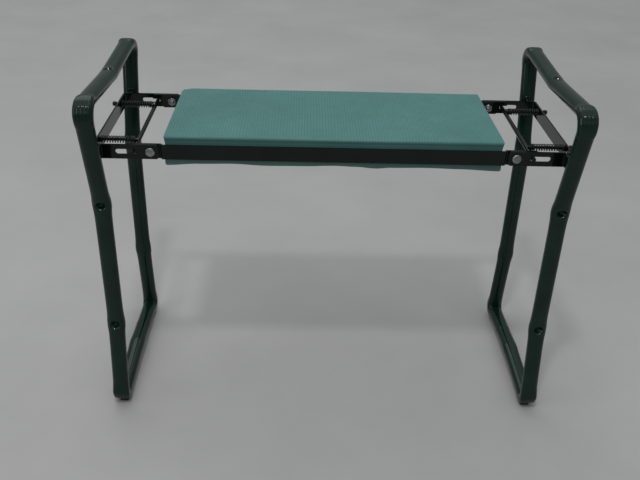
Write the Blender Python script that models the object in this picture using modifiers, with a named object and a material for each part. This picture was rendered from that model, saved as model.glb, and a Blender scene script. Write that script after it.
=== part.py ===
"""Folding garden kneeler seat: a foam pad in a steel frame between two folding tubular legs.

Blender 4.5 script. Metres, +Z up, X along the seat, -Y is the front.
The origin is on the floor, below the middle of the seat. Left is -X, right is +X.
"""

import math

import bmesh
import bpy
from mathutils import Matrix, Vector

MILLIMETRE = 0.001
GAP = 0.3 * MILLIMETRE  # between pieces that touch on the real object
CUT_MARGIN = 0.2 * MILLIMETRE  # how far a rounded cut starts outside the face that it meets

# Leg loop: one bent oval tube, given by the corners of its centre line in the Y, Z plane
LEG_X = 0.2875  # from the middle of the seat to the plane of each loop
TOP_CORNER = (0.1388, 0.4468)
UPPER_KINK = (0.1008, 0.3076)
LOWER_KINK = (0.1008, 0.1264)
BOTTOM_CORNER = (0.1178, 0.0105)
HANDLE_DIP_Z = 0.4392  # the handle bar sags to this height half way along
FOOT_BAR_RISE_Z = 0.0172  # the foot bar rises to this height half way along
TUBE_WIDTH = 0.022  # along X
TUBE_DEPTH = 0.016  # in the plane of the loop
TUBE_WALL = 0.0012
SECTION_POINTS = 12
SECTION_POWER = 2.3  # 2 is an ellipse, more is squarer
TOP_BEND_RADIUS = 0.016
BOTTOM_BEND_RADIUS = 0.010
KINK_RADIUS = 0.060
SEAM_Y = 0.050  # where the two ends of the tube butt together
SEAM_GAP = 0.0006
SLEEVE_LENGTH = 0.040
SLEEVE_WALL = 0.0015

# Pivots and the flat bar that both brackets and rails are made of
PIVOT_X = 0.2238
PIVOT_Z = 0.3742
BAR_HEIGHT = 0.0186
BAR_THICKNESS = 0.0023
ARM_Y = 0.09235  # mid-plane of the bracket's arms and of the rails
TAIL_Y = 0.08895  # mid-plane of the rails' joggled ends, inside the arms

# U bracket welded inside each leg loop
WEB_X = 0.2915
ARM_END_X = 0.2136
ARM_END_RADIUS = 0.005  # round enough to swing past the rail's joggle
BRACKET_BEND_RADIUS = 0.0034  # of the bar's mid-line
SLOT_IN_X = 0.2412
SLOT_OUT_X = 0.2658
SLOT_HEIGHT = 0.0068
STUB_X = 0.2862
STUB_WIDTH = 0.008
STUB_HEIGHT = 0.017

# Rails
RAIL_JOGGLE_IN_X = 0.2088
RAIL_JOGGLE_OUT_X = 0.2122
RAIL_END_X = 0.2510
HOOK_CUT_X = 0.2384  # the underside of the tail is cut away from here outwards

# Lock: a rod across the slots, carried by two sprung guide rods
LOCK_X = 0.2444
LOCK_RADIUS = 0.0028
LOCK_END_Y = 0.0962
GUIDE_RADIUS = 0.0020
GUIDE_Y = 0.0635
GUIDE_IN_X = 0.2434
GUIDE_OUT_X = 0.3008
GUIDE_Z = PIVOT_Z + 0.0036  # pressed into the top of the lock rod where the two are welded
CAP_IN_X = 0.2968
CAP_OUT_X = 0.3018
CAP_RADIUS = 0.0032
COLLAR_RADIUS = 0.0046
COLLAR_THICKNESS = 0.0010
SPRING_RADIUS = 0.0038  # of the wire's centre line
SPRING_WIRE_RADIUS = 0.00055
SPRING_TURNS = 12
SPRING_POINTS_PER_TURN = 8
WEB_HOLE_RADIUS = 0.0023

# Fasteners
BOLT_HEAD_RADIUS = 0.0058
BOLT_HEAD_HEIGHT = 0.0030
BOLT_RIM_SHARE = 0.35  # of the head's height, below its dome
BOLT_SHANK_RADIUS = 0.0030
BOLT_TIP_Y = 0.0812
BOLT_HOLE_RADIUS = 0.0033
NUT_HEIGHT = 0.0040
NUT_ACROSS_FLATS = 0.010
WASHER_RADIUS = 0.0070

# Seat
PAD_LENGTH = 0.4160
PAD_DEPTH = 0.1804
PAD_TOP_Z = 0.3938
PAD_BOTTOM_Z = 0.3545
PAD_EDGE_RADIUS = 0.0025
BOARD_LENGTH = 0.404
BOARD_THICKNESS = 0.0030
TIE_XS = (-0.140, 0.0, 0.140)
TIE_WIDTH = 0.020
TIE_THICKNESS = 0.0030
TIE_Z = 0.3680  # underside of the cross ties

# Feet
FOOT_WIDTH = 0.0120
FOOT_LENGTH = 0.0150
FOOT_HEIGHT = 0.0055
FOOT_X = 0.2860  # a little inside the middle of the tube
FOOT_Y = 0.1065
FOOT_BEVEL = 0.0010

ROUND_SIDES = 16
SMOOTH_ANGLE = math.radians(35)

SIDES = (("left", -1), ("right", 1))
ENDS = (("front", -1), ("rear", 1))


def clear_scene():
    """Remove every object, so that the script builds the same model each time."""
    for item in list(bpy.data.objects):
        bpy.data.objects.remove(item)


def new_collection(name):
    """A collection of this name, linked to the scene."""
    group = bpy.data.collections.new(name)
    bpy.context.scene.collection.children.link(group)
    return group


def finish(name, colour, roughness, metallic=0.0):
    """A plain Principled material."""
    made = bpy.data.materials.new(name)
    made.use_nodes = True
    shader = made.node_tree.nodes["Principled BSDF"]
    shader.inputs["Base Color"].default_value = (*colour, 1.0)
    shader.inputs["Roughness"].default_value = roughness
    shader.inputs["Metallic"].default_value = metallic
    return made


def place(name, mesh, look, group):
    """A mesh as a named object in a collection, shaded smooth across shallow angles."""
    mesh.shade_smooth()
    mesh.set_sharp_from_angle(angle=SMOOTH_ANGLE)
    item = bpy.data.objects.new(name, mesh)
    item.data.materials.append(look)
    group.objects.link(item)
    return item


def welded(mesh):
    """Join vertices that lie on each other, such as those along a curve's caps."""
    work = bmesh.new()
    work.from_mesh(mesh)
    bmesh.ops.remove_doubles(work, verts=work.verts, dist=0.001 * MILLIMETRE)
    bmesh.ops.recalc_face_normals(work, faces=work.faces)
    work.to_mesh(mesh)
    work.free()
    return mesh


def settled(source, name, look, group):
    """The evaluated shape of a curve or a modified mesh, as a plain closed mesh in world space."""
    bpy.context.view_layer.update()
    graph = bpy.context.evaluated_depsgraph_get()
    mesh = bpy.data.meshes.new_from_object(source.evaluated_get(graph))
    mesh.transform(source.matrix_world)
    bpy.data.objects.remove(source)
    return place(name, welded(mesh), look, group)


def helper(name):
    """Mark a cutter or a guide, so that it isn't part of the model."""
    item = bpy.data.objects[name]
    item.hide_render = True
    item.display_type = "WIRE"
    return item


def boolean(target, cutter):
    """Cut a piece by another mesh with the exact solver."""
    step = target.modifiers.new(cutter.name, "BOOLEAN")
    step.operation = "DIFFERENCE"
    step.solver = "EXACT"
    step.object = cutter


def box(name, low, high, look, group, edge=0.0):
    """A box between two corners, with bevelled edges if asked."""
    size = Vector(high) - Vector(low)
    middle = (Vector(high) + Vector(low)) / 2
    work = bmesh.new()
    bmesh.ops.create_cube(work, size=1.0)
    bmesh.ops.scale(work, vec=size, verts=work.verts)
    mesh = bpy.data.meshes.new(name)
    work.to_mesh(mesh)
    work.free()
    item = place(name, mesh, look, group)
    item.location = middle
    if edge > 0:
        rounding = item.modifiers.new("rounded edges", "BEVEL")
        rounding.width = edge
        rounding.segments = 2
    return item


def rod(name, start, end, radius, look, group, sides=ROUND_SIDES):
    """A solid cylinder between two points."""
    run = Vector(end) - Vector(start)
    turn = Vector((0, 0, 1)).rotation_difference(run).to_matrix().to_4x4()
    work = bmesh.new()
    bmesh.ops.create_cone(
        work, cap_ends=True, segments=sides, radius1=radius, radius2=radius, depth=run.length
    )
    mesh = bpy.data.meshes.new(name)
    work.to_mesh(mesh)
    work.free()
    mesh.transform(turn)
    item = place(name, mesh, look, group)
    item.location = (Vector(start) + Vector(end)) / 2
    return item


def ring(name, start, end, outer, inner, look, group, sides=ROUND_SIDES):
    """A tube or washer between two points, or a hexagon nut where sides is 6."""
    item = rod(name, start, end, outer, look, group, sides)
    run = (Vector(end) - Vector(start)).normalized() * MILLIMETRE
    bore = rod(name + "_bore", Vector(start) - run, Vector(end) + run, inner, look, cutters)
    boolean(item, helper(bore.name))
    return item


def turned(name, profile, look, group, origin, direction):
    """A solid of revolution from (radius, height) points, bottom first, along a direction."""
    work = bmesh.new()
    points = [work.verts.new((radius, 0, height)) for radius, height in reversed(profile)]
    for first, second in zip(points, points[1:]):
        work.edges.new((first, second))
    mesh = bpy.data.meshes.new(name)
    work.to_mesh(mesh)
    work.free()
    blank = place(name + "_blank", mesh, look, group)
    lathe = blank.modifiers.new("lathe", "SCREW")
    lathe.steps = ROUND_SIDES
    lathe.render_steps = ROUND_SIDES
    lathe.use_merge_vertices = True
    lathe.merge_threshold = 0.01 * MILLIMETRE
    blank.rotation_mode = "QUATERNION"
    blank.rotation_quaternion = Vector((0, 0, 1)).rotation_difference(Vector(direction))
    blank.location = origin
    return settled(blank, name, look, group)


def plate(name, outline, thickness, look, group, middle=(0, 0, 0), upright=False):
    """A flat outline given thickness: in plan, or standing in the X, Z plane if upright."""
    curve = bpy.data.curves.new(name, "CURVE")
    curve.dimensions = "2D"
    curve.fill_mode = "BOTH"
    curve.extrude = thickness / 2
    spline = curve.splines.new("POLY")
    spline.points.add(len(outline) - 1)
    for point, (across, along) in zip(spline.points, outline):
        point.co = (across, along, 0, 1)
    spline.use_cyclic_u = True
    blank = bpy.data.objects.new(name + "_blank", curve)
    group.objects.link(blank)
    blank.location = middle
    if upright:
        blank.rotation_euler = (math.radians(90), 0, 0)
    return settled(blank, name, look, group)


def arc(centre, radius, start, end, steps):
    """Points round a circle from one angle to another, in degrees."""
    angles = [math.radians(start + (end - start) * step / steps) for step in range(steps + 1)]
    return [
        (centre[0] + radius * math.cos(angle), centre[1] + radius * math.sin(angle))
        for angle in angles
    ]


def filleted(corners, radii, steps):
    """An open path through corners, each inner one rounded to its radius."""
    points = [Vector(corners[0])]
    inner = zip(corners, corners[1:], corners[2:], radii, steps)
    for before, corner, after, radius, count in inner:
        corner = Vector(corner)
        back = (Vector(before) - corner).normalized()
        ahead = (Vector(after) - corner).normalized()
        half = back.angle(ahead) / 2
        centre = corner + (back + ahead).normalized() * (radius / math.sin(half))
        reach = radius / math.tan(half)
        start = corner + back * reach - centre
        end = corner + ahead * reach - centre
        sweep = start.angle_signed(end)
        for step in range(count + 1):
            turn = Matrix.Rotation(-sweep * step / count, 2)
            points.append(centre + turn @ start)
    points.append(Vector(corners[-1]))
    return points


def strip_outline(path, thickness):
    """The closed outline of a flat strip that follows a path of points in plan."""
    path = [Vector(point) for point in path]
    one_side, other_side = [], []
    for index, point in enumerate(path):
        before = path[max(index - 1, 0)]
        after = path[min(index + 1, len(path) - 1)]
        into = (point - before).normalized() if index else (after - point).normalized()
        out = (after - point).normalized() if index < len(path) - 1 else into
        normal = Vector((-(into + out).y, (into + out).x)).normalized()
        reach = thickness / 2 / max(normal.dot(Vector((-into.y, into.x))), 0.5)
        one_side.append(point + normal * reach)
        other_side.append(point - normal * reach)
    return one_side + other_side[::-1]


def section(width, depth):
    """Points of the tube's squared oval section."""
    points = []
    for index in range(SECTION_POINTS):
        angle = math.tau * (index + 0.5) / SECTION_POINTS
        across, along = math.cos(angle), math.sin(angle)
        stretch = (abs(across) ** SECTION_POWER + abs(along) ** SECTION_POWER) ** (-1 / SECTION_POWER)
        points.append((width / 2 * across * stretch, depth / 2 * along * stretch))
    return points


def swept(name, path, width, depth, look, group, capped):
    """The tube's section drawn along a path of 3D points."""
    outline = bpy.data.curves.new(name + "_section", "CURVE")
    outline.dimensions = "2D"
    ring_line = outline.splines.new("POLY")
    ring_line.points.add(SECTION_POINTS - 1)
    for point, (across, along) in zip(ring_line.points, section(width, depth)):
        point.co = (across, along, 0, 1)
    ring_line.use_cyclic_u = True
    guide = bpy.data.objects.new(name + "_section", outline)
    cutters.objects.link(guide)
    curve = bpy.data.curves.new(name, "CURVE")
    curve.dimensions = "3D"
    curve.bevel_mode = "OBJECT"
    curve.bevel_object = guide
    curve.use_fill_caps = capped
    spline = curve.splines.new("POLY")
    spline.points.add(len(path) - 1)
    for point, place_at in zip(spline.points, path):
        point.co = (*place_at, 1)
    blank = bpy.data.objects.new(name + "_blank", curve)
    group.objects.link(blank)
    made = settled(blank, name, look, group)
    bpy.data.objects.remove(guide)
    return made


def seam_point(offset):
    """A point on the foot bar's rear half, at a distance from the seam."""
    slope = (BOTTOM_CORNER[1] - FOOT_BAR_RISE_Z) / BOTTOM_CORNER[0]
    return (SEAM_Y + offset, FOOT_BAR_RISE_Z + slope * (SEAM_Y + offset))


def loop_path():
    """The centre line of a leg loop in the Y, Z plane, from the seam round to the seam."""
    rear = [BOTTOM_CORNER, LOWER_KINK, UPPER_KINK, TOP_CORNER]
    front = [(-y, z) for y, z in reversed(rear)]
    corners = [seam_point(SEAM_GAP / 2), *rear, (0, HANDLE_DIP_Z), *front]
    corners += [(0, FOOT_BAR_RISE_Z), seam_point(-SEAM_GAP / 2)]
    rise = [BOTTOM_BEND_RADIUS, KINK_RADIUS, KINK_RADIUS, TOP_BEND_RADIUS]
    radii = rise + [KINK_RADIUS] + rise[::-1] + [KINK_RADIUS]
    rise_steps = [6, 2, 2, 6]
    return filleted(corners, radii, rise_steps + [2] + rise_steps[::-1] + [2])


def leg_loop(label, side, look):
    """The hollow tube of one leg: feet bar, two kinked uprights and the hand grip in one piece."""
    path = [(side * LEG_X, point.x, point.y) for point in loop_path()]
    tube = swept("leg_loop_" + label, path, TUBE_WIDTH, TUBE_DEPTH, look, parts, capped=False)
    wall = tube.modifiers.new("tube wall", "SOLIDIFY")
    wall.thickness = TUBE_WALL
    wall.offset = -1
    return tube


def joint_sleeve(label, side, look):
    """The short tube inside the foot bar that aligns the two butted ends."""
    ends = (seam_point(-SLEEVE_LENGTH / 2), seam_point(SLEEVE_LENGTH / 2))
    path = [(side * LEG_X, y, z) for y, z in ends]
    inner_wall = 2 * (TUBE_WALL + GAP)
    size = (TUBE_WIDTH - inner_wall, TUBE_DEPTH - inner_wall)
    sleeve = swept("joint_sleeve_" + label, path, *size, look, parts, capped=False)
    wall = sleeve.modifiers.new("sleeve wall", "SOLIDIFY")
    wall.thickness = SLEEVE_WALL
    wall.offset = -1
    return sleeve


def foot(label, side, end_name, end, look):
    """A rubber foot that cradles the tube where the foot bar turns up into the upright."""
    name = f"foot_{end_name}_{label}"
    low = (side * FOOT_X - FOOT_WIDTH / 2, end * FOOT_Y - FOOT_LENGTH / 2, 0)
    high = (side * FOOT_X + FOOT_WIDTH / 2, end * FOOT_Y + FOOT_LENGTH / 2, FOOT_HEIGHT)
    block = box(name, low, high, look, parts, FOOT_BEVEL)
    path = [(side * LEG_X, point.x, point.y) for point in loop_path()]
    size = (TUBE_WIDTH + 2 * GAP, TUBE_DEPTH + 2 * GAP)
    tube = swept(name + "_seat", path, *size, look, cutters, capped=True)
    boolean(block, helper(tube.name))
    return block


def bracket(label, side, look):
    """The U of flat bar inside a loop: a web between the uprights and two arms with slots."""
    corner = BRACKET_BEND_RADIUS
    path = [(ARM_END_X, -ARM_Y)]
    path += arc((WEB_X - corner, -ARM_Y + corner), corner, -90, 0, 4)
    path += arc((WEB_X - corner, ARM_Y - corner), corner, 0, 90, 4)
    path += [(ARM_END_X, ARM_Y)]
    name = "bracket_" + label
    outline = [(side * x, y) for x, y in strip_outline(path, BAR_THICKNESS)]
    bar = plate(name, outline, BAR_HEIGHT, look, parts, (0, 0, PIVOT_Z))

    above = BAR_HEIGHT / 2 + CUT_MARGIN
    nose_x = ARM_END_X + ARM_END_RADIUS
    shape = [(nose_x, BAR_HEIGHT), (ARM_END_X - MILLIMETRE, BAR_HEIGHT)]
    shape += [(ARM_END_X - MILLIMETRE, -BAR_HEIGHT), (nose_x, -BAR_HEIGHT)]
    shape += arc((nose_x, ARM_END_RADIUS - above), ARM_END_RADIUS, 270, 180, 4)
    shape += arc((nose_x, above - ARM_END_RADIUS), ARM_END_RADIUS, 180, 90, 4)
    shape = [(side * x, z) for x, z in shape]
    depth = 2 * (ARM_Y + BAR_THICKNESS)
    trim = plate(name + "_nose", shape, depth, look, cutters, (0, 0, PIVOT_Z), upright=True)
    boolean(bar, helper(trim.name))

    half = SLOT_HEIGHT / 2
    slot = arc((SLOT_OUT_X - half, 0), half, -90, 90, 6)
    slot += arc((SLOT_IN_X + half, 0), half, 90, 270, 6)
    slot = [(side * x, z) for x, z in slot]
    opening = plate(name + "_slot", slot, depth, look, cutters, (0, 0, PIVOT_Z), upright=True)
    boolean(bar, helper(opening.name))

    pin = ((side * PIVOT_X, -depth / 2, PIVOT_Z), (side * PIVOT_X, depth / 2, PIVOT_Z))
    hole = rod(name + "_pin_holes", *pin, BOLT_HOLE_RADIUS, look, cutters)
    boolean(bar, helper(hole.name))
    for end_name, end in ENDS:
        inside = (side * (WEB_X - BAR_THICKNESS), end * GUIDE_Y, GUIDE_Z)
        outside = (side * (WEB_X + BAR_THICKNESS), end * GUIDE_Y, GUIDE_Z)
        hole = rod(f"{name}_{end_name}_hole", inside, outside, WEB_HOLE_RADIUS, look, cutters)
        boolean(bar, helper(hole.name))
    return bar


def stub(label, side, end_name, end, look):
    """The short bar welded between a bracket's corner and the upright beside it."""
    upright_y = UPPER_KINK[0] + (TOP_CORNER[0] - UPPER_KINK[0]) * (
        (PIVOT_Z - UPPER_KINK[1]) / (TOP_CORNER[1] - UPPER_KINK[1])
    )
    name = f"weld_stub_{end_name}_{label}"
    near = ARM_Y + BAR_THICKNESS / 2 + GAP
    ys = sorted((end * near, end * upright_y))
    low = (side * STUB_X - STUB_WIDTH / 2, ys[0], PIVOT_Z - STUB_HEIGHT / 2)
    high = (side * STUB_X + STUB_WIDTH / 2, ys[1], PIVOT_Z + STUB_HEIGHT / 2)
    block = box(name, low, high, look, parts)
    path = [(side * LEG_X, point.x, point.y) for point in loop_path()]
    size = (TUBE_WIDTH + 2 * GAP, TUBE_DEPTH + 2 * GAP)
    tube = swept(name + "_seat", path, *size, look, cutters, capped=True)
    boolean(block, helper(tube.name))
    return block


def rail(end_name, end, look):
    """A long flat bar beside the pad, its ends joggled inwards and hooked over the lock rods."""
    half_path = [
        (RAIL_JOGGLE_IN_X, end * ARM_Y),
        (RAIL_JOGGLE_OUT_X, end * TAIL_Y),
        (RAIL_END_X, end * TAIL_Y),
    ]
    path = [(-x, y) for x, y in reversed(half_path)] + half_path
    name = end_name + "_rail"
    bar = plate(
        name, strip_outline(path, BAR_THICKNESS), BAR_HEIGHT, look, parts, (0, 0, PIVOT_Z)
    )
    low_y, high_y = sorted((end * (TAIL_Y - BAR_THICKNESS), end * (ARM_Y + BAR_THICKNESS)))
    for label, side in SIDES:
        spot = side * PIVOT_X
        ends = ((spot, low_y, PIVOT_Z), (spot, high_y, PIVOT_Z))
        hole = rod(f"{name}_{label}_hole", *ends, BOLT_HOLE_RADIUS, look, cutters)
        boolean(bar, helper(hole.name))
        xs = sorted((side * HOOK_CUT_X, side * (RAIL_END_X + MILLIMETRE)))
        low = (xs[0], low_y, PIVOT_Z - BAR_HEIGHT)
        high = (xs[1], high_y, PIVOT_Z + LOCK_RADIUS + GAP)
        notch = box(f"{name}_{label}_hook", low, high, look, cutters)
        boolean(bar, helper(notch.name))
    return bar


def pivot_fasteners(label, side, end_name, end, bolt_look, nut_look, washer_look):
    """A pivot bolt with its nut, and the washer between the arm and the rail's tail."""
    spot = side * PIVOT_X
    suffix = f"{end_name}_{label}"
    face = ARM_Y + BAR_THICKNESS / 2 + GAP
    shank = face - BOLT_TIP_Y
    edge = BOLT_HEAD_HEIGHT * BOLT_RIM_SHARE
    dome = [
        (BOLT_HEAD_RADIUS * math.cos(angle), shank + edge + (BOLT_HEAD_HEIGHT - edge) * math.sin(angle))
        for angle in (0.0, 0.5, 1.0, math.pi / 2)
    ]
    dome[-1] = (0, dome[-1][1])
    profile = [(0, 0), (BOLT_SHANK_RADIUS, 0), (BOLT_SHANK_RADIUS, shank)]
    profile += [(BOLT_HEAD_RADIUS, shank)] + dome
    turned(
        "pivot_bolt_" + suffix, profile, bolt_look, parts, (spot, end * BOLT_TIP_Y, PIVOT_Z), (0, end, 0)
    )
    nut_out = TAIL_Y - BAR_THICKNESS / 2 - GAP
    ends = ((spot, end * nut_out, PIVOT_Z), (spot, end * (nut_out - NUT_HEIGHT), PIVOT_Z))
    across_corners = NUT_ACROSS_FLATS / math.sqrt(3)
    ring("pivot_nut_" + suffix, *ends, across_corners, BOLT_HOLE_RADIUS, nut_look, parts, sides=6)
    inner = TAIL_Y + BAR_THICKNESS / 2 + GAP
    outer = ARM_Y - BAR_THICKNESS / 2 - GAP
    ends = ((spot, end * inner, PIVOT_Z), (spot, end * outer, PIVOT_Z))
    ring("pivot_washer_" + suffix, *ends, WASHER_RADIUS, BOLT_HOLE_RADIUS, washer_look, parts)


def lock_rod(label, side, look):
    """The rod that slides in the slots and is pulled outwards to let the leg fold."""
    spot = side * LOCK_X
    ends = ((spot, -LOCK_END_Y, PIVOT_Z), (spot, LOCK_END_Y, PIVOT_Z))
    return rod("lock_rod_" + label, *ends, LOCK_RADIUS, look, parts)


def guide_rod(label, side, end_name, end, look):
    """A rod welded across the top of the lock rod, sliding through the bracket's web."""
    y = end * GUIDE_Y
    name = f"guide_rod_{end_name}_{label}"
    ends = ((side * GUIDE_IN_X, y, GUIDE_Z), (side * GUIDE_OUT_X, y, GUIDE_Z))
    guide = rod(name, *ends, GUIDE_RADIUS, look, parts, sides=12)
    reach = GUIDE_RADIUS + MILLIMETRE
    ends = ((side * LOCK_X, y - reach, PIVOT_Z), (side * LOCK_X, y + reach, PIVOT_Z))
    crossing = rod(name + "_crossing", *ends, LOCK_RADIUS + GAP, look, cutters)
    boolean(guide, helper(crossing.name))
    return guide


def guide_cap(label, side, end_name, end, look):
    """The push-on cap over the outer end of a guide rod."""
    length = CAP_OUT_X - CAP_IN_X
    bore = GUIDE_RADIUS + GAP
    floor = GUIDE_OUT_X - CAP_IN_X + GAP
    profile = [(0, floor), (bore, floor), (bore, 0), (CAP_RADIUS, 0)]
    profile += [(CAP_RADIUS, length - MILLIMETRE), (CAP_RADIUS - MILLIMETRE, length), (0, length)]
    origin = (side * CAP_IN_X, end * GUIDE_Y, GUIDE_Z)
    return turned(f"guide_cap_{end_name}_{label}", profile, look, parts, origin, (side, 0, 0))


def collar_start():
    """The X of the collar's inner face, just outside the lock rod."""
    return LOCK_X + LOCK_RADIUS + GAP


def spring_collar(label, side, end_name, end, look):
    """The washer that passes the spring's push on to the lock rod."""
    start = collar_start()
    y = end * GUIDE_Y
    ends = ((side * start, y, GUIDE_Z), (side * (start + COLLAR_THICKNESS), y, GUIDE_Z))
    name = f"spring_collar_{end_name}_{label}"
    return ring(name, *ends, COLLAR_RADIUS, GUIDE_RADIUS + GAP, look, parts, sides=12)


def lock_spring(label, side, end_name, end, look):
    """The compression spring round a guide rod, between the collar and the web."""
    margin = GAP + SPRING_WIRE_RADIUS
    start = collar_start() + COLLAR_THICKNESS + margin
    length = WEB_X - BAR_THICKNESS / 2 - margin - start
    count = SPRING_TURNS * SPRING_POINTS_PER_TURN
    curve = bpy.data.curves.new("spring", "CURVE")
    curve.dimensions = "3D"
    curve.bevel_depth = SPRING_WIRE_RADIUS
    curve.bevel_resolution = 2
    curve.use_fill_caps = True
    spline = curve.splines.new("POLY")
    spline.points.add(count)
    for index, point in enumerate(spline.points):
        angle = math.tau * index / SPRING_POINTS_PER_TURN
        along = start + length * index / count
        across = SPRING_RADIUS * math.cos(angle)
        above = SPRING_RADIUS * math.sin(angle)
        point.co = (side * along, end * GUIDE_Y + across, GUIDE_Z + above, 1)
    blank = bpy.data.objects.new("spring_blank", curve)
    parts.objects.link(blank)
    return settled(blank, f"lock_spring_{end_name}_{label}", look, parts)


def seat(pad_look, under_look, board_look, tie_look):
    """The foam pad, its board, and the cross ties that join the rails."""
    half_depth = PAD_DEPTH / 2
    half_length = PAD_LENGTH / 2
    tie_reach = ARM_Y - BAR_THICKNESS / 2 - GAP
    tie_top = TIE_Z + TIE_THICKNESS
    for number, x in enumerate(TIE_XS, start=1):
        low = (x - TIE_WIDTH / 2, -tie_reach, TIE_Z)
        high = (x + TIE_WIDTH / 2, tie_reach, tie_top)
        box(f"cross_tie_{number}", low, high, tie_look, parts)
    board_top = tie_top + GAP + BOARD_THICKNESS
    low = (-BOARD_LENGTH / 2, -half_depth, tie_top + GAP)
    box("seat_board", low, (BOARD_LENGTH / 2, half_depth, board_top), board_look, parts)
    low = (-half_length, -half_depth, board_top + GAP)
    high = (half_length, half_depth, PAD_TOP_Z)
    box("foam_pad_top", low, high, pad_look, parts, PAD_EDGE_RADIUS)
    low = (-half_length, -half_depth, PAD_BOTTOM_Z)
    high = (half_length, half_depth, TIE_Z - GAP)
    box("foam_pad_bottom", low, high, under_look, parts, PAD_EDGE_RADIUS)


def hang_on(name, location, items):
    """Parent pieces to an empty that stands on their joint's axis."""
    pivot = bpy.data.objects.new(name, None)
    pivot.location = location
    parts.objects.link(pivot)
    for item in items:
        item.parent = pivot
        item.matrix_parent_inverse = Matrix.Translation(location).inverted()


clear_scene()
parts = new_collection("folding_garden_kneeler")
cutters = new_collection("cutters")

green_steel = finish("green painted steel", (0.012, 0.028, 0.020), 0.25)
zinc = finish("zinc plated steel", (0.52, 0.52, 0.50), 0.35, 1.0)
spring_steel = finish("dark spring steel", (0.03, 0.04, 0.035), 0.4, 0.6)
foam_top = finish("green ribbed foam", (0.08, 0.25, 0.22), 0.85)
foam_under = finish("green foam", (0.05, 0.15, 0.13), 0.9)
board = finish("brown hardboard", (0.18, 0.11, 0.06), 0.8)
nylon = finish("white nylon", (0.7, 0.7, 0.68), 0.45)
rubber = finish("dark rubber", (0.03, 0.025, 0.02), 0.8)
black_plastic = finish("black plastic", (0.015, 0.015, 0.015), 0.45)

seat(foam_top, foam_under, board, green_steel)
for end_word, end_sign in ENDS:
    rail(end_word, end_sign, green_steel)

for side_word, side_sign in SIDES:
    leg_pieces = [
        leg_loop(side_word, side_sign, green_steel),
        joint_sleeve(side_word, side_sign, zinc),
        bracket(side_word, side_sign, green_steel),
    ]
    lock_pieces = [lock_rod(side_word, side_sign, green_steel)]
    for end_word, end_sign in ENDS:
        spot = (side_word, side_sign, end_word, end_sign)
        pivot_fasteners(*spot, zinc, zinc, nylon)
        leg_pieces.append(foot(*spot, rubber))
        leg_pieces.append(stub(*spot, green_steel))
        leg_pieces.append(lock_spring(*spot, spring_steel))
        lock_pieces.append(guide_rod(*spot, green_steel))
        lock_pieces.append(guide_cap(*spot, black_plastic))
        lock_pieces.append(spring_collar(*spot, spring_steel))
    hang_on("leg_pivot_" + side_word, (side_sign * PIVOT_X, 0, PIVOT_Z), leg_pieces)
    hang_on("lock_slide_" + side_word, (side_sign * LOCK_X, 0, PIVOT_Z), lock_pieces)
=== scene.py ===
"""Folding garden kneeler seat: the looks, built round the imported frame.

Metres, in the frame's own axes: +X along the seat, -Y the front, +Z up, the floor at Z 0.
"""

import math

import bmesh
import bpy
import numpy as np
from mathutils import Matrix, Vector


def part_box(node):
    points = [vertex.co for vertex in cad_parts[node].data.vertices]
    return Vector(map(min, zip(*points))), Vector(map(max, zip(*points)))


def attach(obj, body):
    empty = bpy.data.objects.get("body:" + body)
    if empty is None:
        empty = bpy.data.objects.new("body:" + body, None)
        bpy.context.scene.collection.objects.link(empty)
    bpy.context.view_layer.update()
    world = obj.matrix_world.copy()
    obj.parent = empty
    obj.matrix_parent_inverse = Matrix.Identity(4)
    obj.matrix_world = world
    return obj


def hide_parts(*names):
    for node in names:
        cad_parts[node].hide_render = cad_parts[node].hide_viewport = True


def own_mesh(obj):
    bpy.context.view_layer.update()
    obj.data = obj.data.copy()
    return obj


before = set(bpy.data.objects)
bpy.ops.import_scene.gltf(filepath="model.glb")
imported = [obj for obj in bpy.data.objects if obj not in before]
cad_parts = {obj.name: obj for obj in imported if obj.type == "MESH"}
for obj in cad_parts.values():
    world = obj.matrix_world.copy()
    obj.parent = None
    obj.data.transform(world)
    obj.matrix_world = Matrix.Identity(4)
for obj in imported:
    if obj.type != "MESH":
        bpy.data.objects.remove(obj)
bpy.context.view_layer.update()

SIDES = (("left", -1), ("right", 1))
ENDS = (("front", -1), ("rear", 1))

# The driving dimensions: the CAD model's, but for a slightly slimmer tube and a steeper joggle
LEG_X = 0.2875
TOP_CORNER = (0.1388, 0.4468)
UPPER_KINK = (0.1008, 0.3076)
LOWER_KINK = (0.1008, 0.1264)
BOTTOM_CORNER = (0.1178, 0.0105)
HANDLE_DIP_Z = 0.4392
FOOT_BAR_RISE_Z = 0.0172
TUBE_WIDTH = 0.0216
TUBE_DEPTH = 0.0160
PIVOT_X = 0.2238
PIVOT_Z = 0.3742
BAR_HEIGHT = 0.0186
BAR_THICKNESS = 0.0023
ARM_Y = 0.09235
TAIL_Y = 0.08895
WEB_X = 0.2915
ARM_END_X = 0.2136
BRACKET_BEND = 0.0034
SLOT_IN_X = 0.2412
SLOT_OUT_X = 0.2658
SLOT_HEIGHT = 0.0068
RAIL_JOGGLE_IN_X = 0.2092
RAIL_JOGGLE_OUT_X = 0.2110
RAIL_END_X = 0.2510
HOOK_CUT_X = 0.2384
LOCK_X = 0.2444
LOCK_RADIUS = 0.0028
LOCK_END_Y = 0.0962
GUIDE_Y = 0.0635
GUIDE_Z = PIVOT_Z + 0.0036
GUIDE_RADIUS = 0.0020
GUIDE_IN_X = 0.2434
GUIDE_OUT_X = 0.3008
CAP_IN_X = 0.2968
CAP_OUT_X = 0.3018
COLLAR_X = 0.2475
FOOT_X = 0.2860
FOOT_Y = 0.1065
FOOT_WIDTH = 0.0120
FOOT_LENGTH = 0.0150
FOOT_HEIGHT = 0.0055


# ---- materials


def new_node(tree, kind, **values):
    """A new node in a tree, with some of its inputs set."""
    made = tree.nodes.new("ShaderNode" + kind)
    for key, value in values.items():
        made.inputs[key.replace("_", " ")].default_value = value
    return made


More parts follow.
